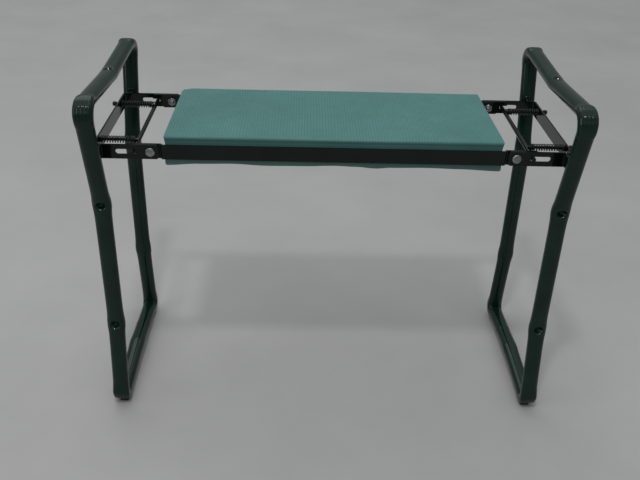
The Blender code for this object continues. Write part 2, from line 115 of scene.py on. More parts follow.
class Look:
    """A node material with short helpers. Colours are linear."""

    def __init__(self, name):
        self.material = bpy.data.materials.new(name)
        self.material.use_nodes = True
        self.tree = self.material.node_tree
        self.shader = self.tree.nodes["Principled BSDF"]
        where = self.tree.nodes.new("ShaderNodeTexCoord")
        self.where = where.outputs["Object"]

    def link(self, source, target):
        self.tree.links.new(source, target)

    def set(self, **values):
        for key, value in values.items():
            self.shader.inputs[key.replace("_", " ")].default_value = value

    def node(self, kind, **values):
        return new_node(self.tree, kind, **values)

    def stretched(self, scale):
        node = self.node("Mapping", Scale=scale)
        self.link(self.where, node.inputs["Vector"])
        return node.outputs["Vector"]

    def noise(self, scale, detail=3.0, roughness=0.5, where=None):
        node = self.node("TexNoise", Scale=scale, Detail=detail, Roughness=roughness)
        self.link(where or self.where, node.inputs["Vector"])
        return node.outputs["Fac"]

    def cells(self, scale):
        node = self.node("TexVoronoi", Scale=scale)
        self.link(self.where, node.inputs["Vector"])
        return node.outputs["Distance"]

    def ramp(self, factor, stops):
        node = self.node("ValToRGB")
        for point, (place, colour) in zip(node.color_ramp.elements, stops):
            point.position = place
            point.color = (*colour, 1.0)
        self.link(factor, node.inputs["Fac"])
        return node.outputs["Color"]

    def curve(self, factor, low, high, out_low=0.0, out_high=1.0):
        node = self.node("MapRange", From_Min=low, From_Max=high, To_Min=out_low, To_Max=out_high)
        self.link(factor, node.inputs["Value"])
        return node.outputs["Result"]

    def mix(self, factor, first, second):
        node = self.node("Mix")
        node.data_type = "RGBA"
        self.link(factor, node.inputs["Factor"])
        for socket, value in ((node.inputs[6], first), (node.inputs[7], second)):
            if isinstance(value, tuple):
                socket.default_value = (*value, 1.0)
            else:
                self.link(value, socket)
        return node.outputs[2]

    def math(self, operation, first, second):
        node = self.node("Math")
        node.operation = operation
        for socket, value in zip(node.inputs, (first, second)):
            if isinstance(value, (int, float)):
                socket.default_value = value
            else:
                self.link(value, socket)
        return node.outputs[0]

    def bump(self, height, strength, distance, under=None):
        node = self.node("Bump", Strength=strength, Distance=distance)
        self.link(height, node.inputs["Height"])
        if under is not None:
            self.link(under, node.inputs["Normal"])
        return node.outputs["Normal"]

    def done(self, colour=None, roughness=None, metallic=None, normal=None):
        wires = {"Base Color": colour, "Roughness": roughness, "Metallic": metallic, "Normal": normal}
        for socket, value in wires.items():
            if value is not None:
                self.link(value, self.shader.inputs[socket])
        return self.material


def enamel(name, deep, light):
    """Dark green gloss enamel: thick, slightly rippled, with pinhead chips and a film of dust."""
    look = Look(name)
    tone = look.ramp(look.noise(34, 4), [(0.35, deep), (0.7, light)])
    chips = look.curve(look.noise(420, 2, 0.6), 0.735, 0.755)
    patch = look.curve(look.noise(26, 3), 0.52, 0.66)
    chipped = look.math("MULTIPLY", chips, patch)
    colour = look.mix(chipped, tone, (0.060, 0.066, 0.060))
    scuffs = look.noise(1.0, 5, 0.65, look.stretched((60, 60, 900)))
    rough = look.curve(scuffs, 0.35, 0.8, 0.07, 0.17)
    peel = look.bump(look.noise(330, 2, 0.4), 0.08, 0.0004)
    fine = look.bump(look.noise(1900, 2), 0.05, 0.0001, peel)
    look.set(IOR=1.36)
    return look.done(colour, rough, None, fine)


def zinc(name, tone, rough_low, rough_high):
    """Dull zinc plating: cloudy, faintly crystalline, darker where it has tarnished."""
    look = Look(name)
    cloud = look.ramp(look.noise(230, 4, 0.6), [(0.3, tuple(0.45 * c for c in tone)), (0.7, tone)])
    speck = look.curve(look.cells(1500), 0.0, 0.6)
    colour = look.mix(look.curve(look.noise(800, 2), 0.55, 0.7), cloud, (0.16, 0.15, 0.13))
    rough = look.curve(look.noise(600, 3), 0.3, 0.7, rough_low, rough_high)
    look.set(Metallic=1.0)
    return look.done(colour, rough, None, look.bump(speck, 0.12, 0.0001))


def foam(name, deep, light, cell_bump):
    """Closed-cell foam: matte, finely pored, with faint cloudy colour and the pores dotted darker as
    painted shade.
    """
    look = Look(name)
    cloud = look.noise(14, 5, 0.6)
    tone = look.ramp(cloud, [(0.3, deep), (0.72, light)])
    pores = look.cells(1300)
    # painted shade: each pore opening is a darker dot
    pore_shade = look.curve(pores, 0.0, 0.35, 0.45, 0.0)
    colour = look.mix(pore_shade, tone, tuple(0.55 * c for c in deep))
    normal = look.bump(look.noise(1700, 3, 0.7), cell_bump, 0.0004)
    normal = look.bump(look.noise(260, 3), 0.12, 0.0006, normal)
    threads = look.noise(1.0, 2, 0.5, look.stretched((60, 850, 60)))
    normal = look.bump(threads, 0.22, 0.0004, normal)
    look.set(Specular_IOR_Level=0.28)
    rough = look.curve(look.noise(90, 2), 0.3, 0.7, 0.62, 0.8)
    return look.done(colour, rough, None, normal)


def rubber(name, deep, light):
    """Matte moulded rubber with a dusty, scuffed face."""
    look = Look(name)
    colour = look.ramp(look.noise(160, 5, 0.65), [(0.35, deep), (0.75, light)])
    rough = look.curve(look.noise(300, 2), 0.3, 0.7, 0.6, 0.85)
    return look.done(colour, rough, None, look.bump(look.noise(900, 3), 0.25, 0.0003))


def steel_wire(name):
    """Dark oiled spring wire with draw lines."""
    look = Look(name)
    colour = look.ramp(look.noise(500, 3), [(0.3, (0.006, 0.008, 0.007)), (0.75, (0.020, 0.023, 0.021))])
    rough = look.curve(look.noise(900, 2), 0.3, 0.7, 0.28, 0.5)
    look.set(Metallic=0.3)
    return look.done(colour, rough, None, look.bump(look.noise(2500, 2), 0.15, 0.0001))


def hardboard(name):
    """Pressed fibre board, smooth brown face with fibres."""
    look = Look(name)
    fibres = look.noise(1.0, 6, 0.7, look.stretched((900, 260, 900)))
    colour = look.ramp(fibres, [(0.3, (0.10, 0.055, 0.028)), (0.75, (0.26, 0.16, 0.085))])
    return look.done(colour, look.curve(fibres, 0.2, 0.8, 0.55, 0.8), None, look.bump(fibres, 0.2, 0.0003))


def nylon(name):
    """Natural nylon, slightly translucent and scratched."""
    look = Look(name)
    colour = look.ramp(look.noise(400, 3), [(0.3, (0.52, 0.51, 0.47)), (0.7, (0.68, 0.67, 0.63))])
    return look.done(colour, look.curve(look.noise(700, 3), 0.3, 0.7, 0.35, 0.55))


def floor_look(name):
    """A pale floor with the faintest mottling."""
    look = Look(name)
    colour = look.ramp(look.noise(3.0, 4, 0.6), [(0.3, (0.37, 0.37, 0.365)), (0.7, (0.42, 0.42, 0.415))])
    return look.done(colour, look.curve(look.noise(8, 3), 0.3, 0.7, 0.5, 0.7))


tube_green = enamel("tube enamel", (0.0026, 0.0150, 0.0094), (0.0045, 0.0240, 0.0150))
# The flat bars wear the tubes' paint made darker: painted shade for their shaded faces.
shaded_bar_green = enamel("bar enamel with painted shade", (0.0012, 0.0048, 0.0034), (0.0024, 0.0084, 0.0058))
bolt_zinc = zinc("dull zinc", (0.44, 0.45, 0.43), 0.32, 0.50)
sleeve_zinc = zinc("bright zinc", (0.42, 0.42, 0.40), 0.24, 0.4)
wire_steel = steel_wire("spring wire")
pad_green = foam("ribbed foam", (0.070, 0.182, 0.176), (0.090, 0.222, 0.213), 0.20)
under_green = foam("cut foam", (0.090, 0.172, 0.163), (0.118, 0.212, 0.201), 0.35)
foot_rubber = rubber("foot rubber", (0.020, 0.016, 0.012), (0.055, 0.045, 0.034))
cap_black = rubber("black cap", (0.006, 0.007, 0.006), (0.014, 0.015, 0.014))
board_brown = hardboard("pressed board")
washer_nylon = nylon("washer nylon")
floor_grey = floor_look("pale floor")


# ---- mesh helpers


def put(name, data):
    """A new object in the scene."""
    item = bpy.data.objects.new(name, data)
    bpy.context.scene.collection.objects.link(item)
    return item


def mesh_from(work, name):
    """A mesh from a finished working mesh, which is freed."""
    mesh = bpy.data.meshes.new(name)
    work.to_mesh(mesh)
    work.free()
    return mesh


def piece(name, mesh, look, body, nodes=(), angle=35):
    """A finished piece: shaded smooth below an angle, riding on a body, standing for CAD nodes."""
    mesh.materials.clear()
    mesh.materials.append(look)
    mesh.shade_smooth()
    mesh.set_sharp_from_angle(angle=math.radians(angle))
    item = put(name, mesh)
    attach(item, body)
    if nodes:
        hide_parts(*nodes)
    return item


def mesh_of(name, points, faces):
    """A mesh from points and faces, with its normals turned outwards."""
    mesh = bpy.data.meshes.new(name)
    mesh.from_pydata([tuple(p) for p in points], [], [tuple(f) for f in faces])
    work = bmesh.new()
    work.from_mesh(mesh)
    bmesh.ops.recalc_face_normals(work, faces=work.faces)
    work.to_mesh(mesh)
    work.free()
    return mesh


def skin(rings, closed):
    """Quads between successive rings of equal size. Closed joins the last ring to the first."""
    count, around = rings.shape[:2]
    points = rings.reshape(-1, 3)
    faces = []
    last = count if closed else count - 1
    for i in range(last):
        here, there = i * around, ((i + 1) % count) * around
        for j in range(around):
            k = (j + 1) % around
            faces.append((here + j, here + k, there + k, there + j))
    if not closed:
        faces.append(tuple(range(around))[::-1])
        faces.append(tuple((count - 1) * around + j for j in range(around)))
    return points, faces


def placement(origin, direction):
    """A function that turns +Z towards a direction and moves a point to an origin."""
    turn = Vector((0, 0, 1)).rotation_difference(Vector(direction)).to_matrix()
    return lambda point: turn @ Vector(point) + Vector(origin)


def lathe(name, profile, origin, direction, sides=48):
    """A solid of revolution from (radius, height) points. Radius 0 at both ends."""
    inner = profile[1:-1]
    points = [(0, 0, profile[0][1])]
    for radius, height in inner:
        for step in range(sides):
            angle = math.tau * step / sides
            points.append((radius * math.cos(angle), radius * math.sin(angle), height))
    points.append((0, 0, profile[-1][1]))
    faces = []
    for step in range(sides):
        after = (step + 1) % sides
        faces.append((0, 1 + after, 1 + step))
        for level in range(len(inner) - 1):
            low, high = 1 + level * sides, 1 + (level + 1) * sides
            faces.append((low + step, low + after, high + after, high + step))
        top = 1 + (len(inner) - 1) * sides
        faces.append((top + step, top + after, len(points) - 1))
    return mesh_of(name, map(placement(origin, direction), points), faces)


def ring_lathe(name, profile, origin, direction, sides=48):
    """A ring-shaped solid from a closed (radius, height) section."""
    place = placement(origin, direction)
    rings = []
    for step in range(sides):
        angle = math.tau * step / sides
        rings.append([place((r * math.cos(angle), r * math.sin(angle), h)) for r, h in profile])
    return mesh_of(name, *skin(np.array(rings, float), True))


def rounded_rod(name, start, end, radius, edge, sides=40):
    """A rod with its end edges rounded."""
    start, end = Vector(start), Vector(end)
    length = (end - start).length
    turns = [math.radians(a) for a in (0, 22.5, 45, 67.5, 90)]
    foot = [(radius - edge + edge * math.sin(a), edge - edge * math.cos(a)) for a in turns]
    head = [(r, length - h) for r, h in reversed(foot)]
    return lathe(name, [(0, 0)] + foot + head + [(0, length)], start, end - start, sides)


def fillet(before, corner, after, radius, steps):
    """Points round one corner of an outline, from the side of one neighbour to the other's."""
    corner = Vector(corner)
    back = (Vector(before) - corner).normalized()
    ahead = (Vector(after) - corner).normalized()
    half = back.angle(ahead) / 2
    centre = corner + (back + ahead).normalized() * (radius / math.sin(half))
    start = corner + back * (radius / math.tan(half)) - centre
    end = corner + ahead * (radius / math.tan(half)) - centre
    sweep = start.angle_signed(end)
    turns = [Matrix.Rotation(-sweep * step / steps, 2) for step in range(steps + 1)]
    return [tuple(centre + turn @ start) for turn in turns]


def lengths_along(line):
    """The length of a line of points so far, at each point."""
    return np.concatenate([[0], np.cumsum(np.linalg.norm(np.diff(line, axis=0), axis=1))])


def unit_rows(vectors):
    """Each row at length 1."""
    return vectors / np.linalg.norm(vectors, axis=1)[:, None]


def smooth_bump(q):
    """One in the middle, falling smoothly to nothing where q reaches 1."""
    inside = np.clip(np.sqrt(np.maximum(q, 0)), 0, 1)
    return 0.5 * (1 + np.cos(np.pi * inside))


def ripple(seed, count, around):
    """Gentle repeatable noise over a grid, between -1 and 1."""
    dice = np.random.default_rng(seed)
    rows = np.arange(count)[:, None]
    columns = np.arange(around)[None, :] * math.tau / around
    total = np.zeros((count, around))
    for _ in range(7):
        along, turns = dice.uniform(0.05, 0.45), dice.integers(0, 4)
        shift, tilt = dice.uniform(0, math.tau, 2)
        total += np.cos(rows * along + shift) * np.cos(columns * turns + tilt)
    return total / 4


# ---- leg loops

SECTION_SIDES = 96
SECTION_POWER = 2.25
BEND_POWER = 4.2  # the outer side of a tight bend is flattened, with crisp edges
BEND_REACH = 0.021
TOP_BEND_RADIUS = 0.016
BOTTOM_BEND_RADIUS = 0.010
KINK_RADIUS = 0.040
# kind: (dent depth, dent half length, dent half width, flare of the width, flare half length)
DENTS = {
    "corner": (0.0058, 0.0078, 0.0070, 0.080, 0.013),
    "kink": (0.0062, 0.0080, 0.0076, 0.120, 0.0105),
    "bar": (0.0050, 0.0076, 0.0068, 0.055, 0.014),
}
DENT_STEEPNESS = 1.25
LIP_HEIGHT = 0.00035
LIP_LENGTH, LIP_WIDTH = 1.45, 1.35  # the lip's reach round a dent, in dent sizes
SEAM_Y, SEAM_Z = 0.050, 0.0143  # the foot bar's butt seam
SEAM_HEIGHT = 0.0005
SEAM_WIDTH = 0.0022
FLUTE_DEPTH = 0.00030  # fine flutes and pleats where the outer side of a corner has stretched
FLUTE_PITCH = 0.0042
FLUTE_REACH = 0.019
PLEAT_PITCH = 0.0065
MARK_LENGTH = 0.0105  # the die's mark on the outer side of a kink: rings round a dimple
MARK_WIDTH = 0.0075
MARK_DEPTH = 0.00040
MARK_RINGS = 3


def loop_line():
    """The loop's closed centre line, its length so far at each point, and its bends."""
    rear = [
        (BOTTOM_CORNER, BOTTOM_BEND_RADIUS, "corner", 1),
        (LOWER_KINK, KINK_RADIUS, "kink", -1),
        (UPPER_KINK, KINK_RADIUS, "kink", -1),
        (TOP_CORNER, TOP_BEND_RADIUS, "corner", 1),
    ]
    front = [((-y, z), radius, kind, inward) for (y, z), radius, kind, inward in reversed(rear)]
    dip = [((0, HANDLE_DIP_Z), KINK_RADIUS, "bar", -1)]
    rise = [((0, FOOT_BAR_RISE_Z), KINK_RADIUS, "bar", -1)]
    corners = rear + dip + front + rise
    points, marks = [], []
    steps = 40
    for index, (corner, radius, kind, inward) in enumerate(corners):
        before, after = corners[index - 1][0], corners[(index + 1) % len(corners)][0]
        marks.append((len(points) + steps // 2, kind, inward))
        points += fillet(before, corner, after, radius, steps)
    line = np.array(points + [points[0]], float)
    length = lengths_along(line)
    bends = [(length[index], kind, inward) for index, kind, inward in marks]
    return line, length, bends


def sample_places(length, bends):
    """Places along the loop: close together near the bends, further apart between."""
    near, far, reach = 0.0006, 0.0045, 0.023
    places = set(np.round(np.arange(0, length[-1] - far / 2, far), 6))
    for middle, _, _ in bends:
        places |= set(np.round((np.arange(middle - reach, middle + reach, near)) % length[-1], 6))
    ordered = sorted(places)
    kept = [ordered[0]]
    for place in ordered[1:]:
        if place - kept[-1] > near * 0.6:
            kept.append(place)
    return np.array(kept)


def away_from(middle, places, total):
    """Each place's signed distance from a middle, the short way round the loop, as a column."""
    return ((places - middle + total / 2) % total - total / 2)[:, None]


def section_powers(places, bends, total, up):
    """How square the section is at each point: squarer on the outer side of a corner."""
    power = np.full((len(places), SECTION_SIDES), SECTION_POWER)
    for middle, kind, dent_side in bends:
        if kind == "corner":
            squared = smooth_bump((away_from(middle, places, total) / BEND_REACH) ** 2) ** 0.5
            power += (BEND_POWER - SECTION_POWER) * squared * (up * dent_side < 0.02)
    return power


def press_dent(xs, ys, away, kind, dent_side):
    """Widen the tube at a bend and press a dent with a raised lip into one side of it."""
    depth, half_length, half_width, flare, flare_length = DENTS[kind]
    xs *= 1 + flare * (1 / (1 + (np.abs(away) / flare_length) ** 3))
    q = (away / half_length) ** 2 + (xs / half_width) ** 2
    facing = np.clip(ys * dent_side / (TUBE_DEPTH / 2), 0, 1) ** 0.5
    hollow = depth * smooth_bump(q ** DENT_STEEPNESS) * (q < 1) * facing
    lip_q = (away / (half_length * LIP_LENGTH)) ** 2 + (xs / (half_width * LIP_WIDTH)) ** 2
    lip = LIP_HEIGHT * smooth_bump((lip_q - 0.55) ** 2 / 0.16) * ((lip_q > 0.15) & (lip_q < 0.95))
    ys += dent_side * (lip * facing - hollow)


def press_die_mark(xs, ys, away, dent_side):
    """The bending die's faint rings on the outer side of a kink."""
    outer = np.clip(-ys * dent_side / (TUBE_DEPTH / 2), 0, 1) ** 0.5
    ring = np.sqrt((away / MARK_LENGTH) ** 2 + (xs / MARK_WIDTH) ** 2)
    mark = MARK_DEPTH * (np.cos(MARK_RINGS * math.pi * np.minimum(ring, 1)) + 1) / 2
    ys += dent_side * outer * mark * (ring < 1)


def press_flutes(xs, ys, away, dent_side):
    """Flutes along and pleats across the outer side of a corner."""
    outer = np.clip(-ys * dent_side / (TUBE_DEPTH / 2), 0, 1)
    spread = smooth_bump((away / FLUTE_REACH) ** 2)
    flutes = np.cos(math.tau * xs / FLUTE_PITCH) * FLUTE_DEPTH
    pleats = np.cos(math.tau * away / PLEAT_PITCH + 0.8) * FLUTE_DEPTH * 0.6
    ys -= dent_side * outer * spread * (flutes + pleats)


def raise_seam(xs, ys, places, middle):
    """A low weld bead round the foot bar's seam."""
    seam_at = np.argmin(np.linalg.norm(middle - np.array([SEAM_Y, SEAM_Z]), axis=1))
    away = np.abs(places - places[seam_at])
    bead = SEAM_HEIGHT * np.exp(-((away / SEAM_WIDTH) ** 2))
    bead = bead[:, None] * (1 + 0.35 * ripple(5, len(places), SECTION_SIDES))
    reach = np.hypot(xs, ys)
    xs += xs / reach * bead
    ys += ys / reach * bead


def leg_loop(label, side):
    """One leg: a bent oval tube, dented and widened at every bend as press bending leaves it."""
    line, length, bends = loop_line()
    places = sample_places(length, bends)
    step = 0.0004
    total = length[-1]

    def at(where):
        where = where % total
        return np.stack([np.interp(where, length, line[:, axis]) for axis in (0, 1)], axis=1)

    middle = at(places)
    along = unit_rows(at(places + step) - at(places - step))
    inward = np.stack([-along[:, 1], along[:, 0]], axis=1)

    angles = np.arange(SECTION_SIDES) * math.tau / SECTION_SIDES
    across, up = np.cos(angles), np.sin(angles)
    power = section_powers(places, bends, total, up)
    stretch = (np.abs(across) ** power + np.abs(up) ** power) ** (-1 / power)
    xs = across * stretch * TUBE_WIDTH / 2
    ys = up * stretch * TUBE_DEPTH / 2
    for centre, kind, dent_side in bends:
        away = away_from(centre, places, total)
        press_dent(xs, ys, away, kind, dent_side)
        if kind == "kink":
            press_die_mark(xs, ys, away, dent_side)
        if kind == "corner":
            press_flutes(xs, ys, away, dent_side)
    raise_seam(xs, ys, places, middle)

    rings = np.empty((len(places), SECTION_SIDES, 3))
    rings[:, :, 0] = side * LEG_X + xs
    rings[:, :, 1] = middle[:, 0:1] + inward[:, 0:1] * ys
    rings[:, :, 2] = middle[:, 1:2] + inward[:, 1:2] * ys
    mesh = mesh_of("leg_tube_" + label, *skin(rings, True))
    nodes = ("leg_loop_" + label,)
    return piece("leg_tube_" + label, mesh, tube_green, "leg_" + label, nodes, 60)


# ---- flat bar pieces

EDGE = 0.00045  # rounding of sheared and painted bar edges
ARM_NOSE = 0.0038  # the rounded corners of a bracket arm's end
PIVOT_HOLE = 0.0033
GUIDE_HOLE = 0.0023
JOGGLE_FLOW = 0.0003  # how far each bend of a joggle starts from its flat


def arc(centre, radius, start, end, steps):
    """Points round a circle from one angle to another, in degrees."""
    angles = [math.radians(start + (end - start) * step / steps) for step in range(steps + 1)]
    return [(centre[0] + radius * math.cos(a), centre[1] + radius * math.sin(a)) for a in angles]


def circle(centre, radius, steps=32):
    """A closed ring of points."""
    return arc(centre, radius, 0, 360, steps)[:-1]


def rectangle(left, right, half):
    """The corners of a rectangle, as far up as down."""
    return [(left, -half), (right, -half), (right, half), (left, half)]


def rounded(corners, radii, steps=6):
    """A closed outline with each corner rounded."""
    points = []
    count = len(corners)
    for index, corner in enumerate(corners):
        if radii[index] > 0:
            before, after = corners[index - 1], corners[(index + 1) % count]
            points += fillet(before, corner, after, radii[index], steps)
        else:
            points.append(corner)
    return points


def blank_bar(outlines, thickness, cuts, edge=EDGE):
    """A flat blank in U, Z with thickness along V, rounded at its edges and cut across at some U."""
    work = bmesh.new()
    edges = []
    for outline in outlines:
        ring = [work.verts.new((u, 0, z)) for u, z in outline]
        for first, second in zip(ring, ring[1:] + ring[:1]):
            edges.append(work.edges.new((first, second)))
    bmesh.ops.triangle_fill(work, edges=edges, use_beauty=True, use_dissolve=False)
    bmesh.ops.translate(work, verts=work.verts, vec=(0, -thickness / 2, 0))
    grown = bmesh.ops.extrude_face_region(work, geom=list(work.faces))
    moved = [item for item in grown["geom"] if isinstance(item, bmesh.types.BMVert)]
    bmesh.ops.translate(work, verts=moved, vec=(0, thickness, 0))
    bmesh.ops.recalc_face_normals(work, faces=work.faces)
    sharp = [line for line in work.edges if line.calc_face_angle(0) > math.radians(50)]
    bmesh.ops.bevel(
        work, geom=sharp, offset=edge, segments=3, profile=0.5, affect="EDGES", clamp_overlap=True
    )
    for u in cuts:
        geometry = work.verts[:] + work.edges[:] + work.faces[:]
        bmesh.ops.bisect_plane(work, geom=geometry, plane_co=(u, 0, 0), plane_no=(1, 0, 0), dist=1e-7)
    return work


def bend_to(work, path, name):
    """Bend a blank whose U runs along a path of points in plan, its V to the path's left."""
    line = np.array(path, float)
    lengths = lengths_along(line)

    def at(u):
        index = int(np.clip(np.searchsorted(lengths, u) - 1, 0, len(line) - 2))
        run = line[index + 1] - line[index]
        run /= np.linalg.norm(run)
        return line[index] + run * (u - lengths[index])

    for vertex in work.verts:
        u, v, z = vertex.co
        ahead, behind = at(u + 0.0002), at(u - 0.0002)
        run = (ahead - behind) / np.linalg.norm(ahead - behind)
        spot = at(u) + np.array([-run[1], run[0]]) * v
        vertex.co = (spot[0], spot[1], z)
    bmesh.ops.recalc_face_normals(work, faces=work.faces)
    return mesh_from(work, name)


def even_normals(item):
    """Keep large flats flat beside their rounded edges."""
    step = item.modifiers.new("even normals", "WEIGHTED_NORMAL")
    step.keep_sharp = True
    return item


def bracket(label, side):
    """The U bracket: a web between the uprights and two slotted arms, bent from one flat bar."""
    corner = BRACKET_BEND
    straight = WEB_X - corner - ARM_END_X
    turn = math.pi / 2 * corner
    web = 2 * (ARM_Y - corner)
    total = 2 * straight + 2 * turn + web
    half = BAR_HEIGHT / 2
    outline = rounded(rectangle(0, total, half), [ARM_NOSE] * 4, 8)
    slot = rectangle(SLOT_IN_X - ARM_END_X, SLOT_OUT_X - ARM_END_X, SLOT_HEIGHT / 2)
    holes = []
    for flip in (False, True):
        spots = [
            circle((PIVOT_X - ARM_END_X, 0), PIVOT_HOLE),
            rounded(slot, [SLOT_HEIGHT / 2 - 0.0001] * 4, 8),
            circle((straight + turn + (ARM_Y - corner) - GUIDE_Y, GUIDE_Z - PIVOT_Z), GUIDE_HOLE),
        ]
        for spot in spots:
            holes.append([(total - u, z) for u, z in reversed(spot)] if flip else spot)
    cuts = [straight + turn * step / 10 for step in range(11)]
    cuts += [total - u for u in cuts]
    work = blank_bar([outline] + holes, BAR_THICKNESS, cuts)
    path = [(ARM_END_X, -ARM_Y), (WEB_X - corner, -ARM_Y)]
    path += arc((WEB_X - corner, -ARM_Y + corner), corner, -90, 0, 24)[1:]
    path += arc((WEB_X - corner, ARM_Y - corner), corner, 0, 90, 24)
    path += [(ARM_END_X, ARM_Y)]
    mesh = bend_to(work, [(side * x, y) for x, y in path], "bracket_bar_" + label)
    mesh.transform(Matrix.Translation((0, 0, PIVOT_Z)))
    node = "bracket_" + label
    item = piece("bracket_bar_" + label, mesh, shaded_bar_green, "leg_" + label, (node,), 50)
    return even_normals(item)


def rail(end_name, end):
    """A rail beside the pad, its joggled ends hooked over the lock rods."""
    half = BAR_HEIGHT / 2
    steps = [
        (RAIL_JOGGLE_IN_X - 0.0008, ARM_Y),
        (RAIL_JOGGLE_IN_X + 0.0002, ARM_Y - JOGGLE_FLOW),
        (RAIL_JOGGLE_OUT_X - 0.0002, TAIL_Y + JOGGLE_FLOW),
        (RAIL_JOGGLE_OUT_X + 0.0008, TAIL_Y),
        (RAIL_END_X, TAIL_Y),
    ]
    path = [(-x, end * y) for x, y in reversed(steps)] + [(x, end * y) for x, y in steps]
    lengths = lengths_along(np.array(path))
    total = lengths[-1]
    hook = RAIL_END_X - HOOK_CUT_X
    lip = LOCK_RADIUS + 0.0003
    corners = [
        (hook, -half), (total - hook, -half), (total - hook, lip), (total, lip),
        (total, half), (0, half), (0, lip), (hook, lip),
    ]
    radii = [0.004, 0.004, 0.0015, 0.0012, 0.003, 0.003, 0.0012, 0.0015]
    outline = rounded(corners, radii, 6)
    spot = RAIL_END_X - PIVOT_X
    holes = [circle((spot, 0), PIVOT_HOLE), circle((total - spot, 0), PIVOT_HOLE)]
    cuts = list(lengths[1:-1])
    work = blank_bar([outline] + holes, BAR_THICKNESS, cuts)
    mesh = bend_to(work, path, end_name + "_rail_bar")
    mesh.transform(Matrix.Translation((0, 0, PIVOT_Z)))
    node = end_name + "_rail"
    item = piece(node + "_bar", mesh, shaded_bar_green, "seat", (node,), 50)
    return even_normals(item)


# ---- fasteners


JOINT_GAP = 0.0003  # air between a fastener and the face it clamps, as in the CAD model
BOLT_TIP_Y = 0.0812
BOLT_RADIUS = 0.0030
THREAD_CREST, THREAD_ROOT = 0.00295, 0.00262
THREAD_PITCH = 0.0010
THREAD_TURNS = 5
HEAD_RADIUS = 0.0058
HEAD_RIM = 0.0009
HEAD_DOME = 0.0019


def pivot_bolt(label, side, end_name, end):
    """A domed zinc bolt with a shallow rim, and its threaded tip."""
    shank = ARM_Y + BAR_THICKNESS / 2 + JOINT_GAP - BOLT_TIP_Y
    rim = shank + HEAD_RIM
    first = 0.0006
    profile = [(0, 0), (0.0024, 0), (0.0029, 0.0005)]
    for turn in range(THREAD_TURNS):
        base = first + turn * THREAD_PITCH
        profile += [(THREAD_CREST, base), (THREAD_CREST, base + 0.0003), (THREAD_ROOT, base + 0.00065)]
    profile += [(BOLT_RADIUS, first + THREAD_TURNS * THREAD_PITCH), (BOLT_RADIUS, shank)]
    profile += [(HEAD_RADIUS - 0.0002, shank), (HEAD_RADIUS, shank + 0.0003), (HEAD_RADIUS, rim)]
    for step in range(9):
        angle = math.radians(10 + 80 * step / 9)
        profile.append((HEAD_RADIUS * math.cos(angle) * 0.985, rim + HEAD_DOME * math.sin(angle)))
    profile += [(0.0006, rim + HEAD_DOME - 0.00001), (0, rim + HEAD_DOME)]
    suffix = f"{end_name}_{label}"
    mesh = lathe("bolt_" + suffix, profile, (side * PIVOT_X, end * BOLT_TIP_Y, PIVOT_Z), (0, end, 0))
    node = "pivot_bolt_" + suffix
    return piece("domed_bolt_" + suffix, mesh, bolt_zinc, "seat", (node,), 40)


NUT_HEIGHT = 0.0040
NUT_FLAT = 0.0050  # from the axis to a flat
NUT_FACE = 0.00475  # radius of the round face inside the chamfer
NUT_BORE = 0.0031
NUT_CHAMFER = 0.0005
NUT_SINK = 0.0004  # countersink of the bore
NUT_CORNER = 0.00545  # beyond this radius the corners are rounded off


def pivot_nut(label, side, end_name, end):
    """A hexagon nut, chamfered on both faces, with a countersunk bore."""
    out = TAIL_Y - BAR_THICKNESS / 2 - JOINT_GAP
    sides = 96
    rings = []
    levels = [
        (NUT_BORE, NUT_SINK, False), (NUT_BORE + NUT_SINK, 0, False), (NUT_FACE, 0, False),
        (1, NUT_CHAMFER, True), (1, NUT_HEIGHT - NUT_CHAMFER, True), (NUT_FACE, NUT_HEIGHT, False),
        (NUT_BORE + NUT_SINK, NUT_HEIGHT, False), (NUT_BORE, NUT_HEIGHT - NUT_SINK, False),
    ]
    origin = Vector((side * PIVOT_X, end * out, PIVOT_Z))
    for step in range(sides):
        angle = math.tau * step / sides
        wedge = (angle + math.pi / 6) % (math.pi / 3) - math.pi / 6
        hexagon = NUT_FLAT / math.cos(wedge)
        row = []
        for radius, along, is_hexagon in levels:
            reach = hexagon if is_hexagon else radius
            if is_hexagon and hexagon > NUT_CORNER:
                inward = 0.0006 if along < NUT_HEIGHT / 2 else -0.0006
                along += inward * (hexagon - NUT_CORNER) / 0.00032
            row.append(origin + Vector((reach * math.cos(angle), -end * along, reach * math.sin(angle))))
        rings.append(row)
    suffix = f"{end_name}_{label}"
    mesh = mesh_of("nut_" + suffix, *skin(np.array(rings, float), True))
    node = "pivot_nut_" + suffix
    return piece("hex_nut_" + suffix, mesh, bolt_zinc, "seat", (node,), 28)


def ring_piece(name, start, end, outer, inner, edge, look, body, node):
    """A washer or collar with softened edges."""
    run = Vector(end) - Vector(start)
    length = run.length
    section = [
        (inner, edge), (inner + edge, 0), (outer - edge, 0), (outer, edge),
        (outer, length - edge), (outer - edge, length), (inner + edge, length), (inner, length - edge),
    ]
    mesh = ring_lathe(name, section, start, run)
    return piece(name, mesh, look, body, (node,), 40)


# ---- lock


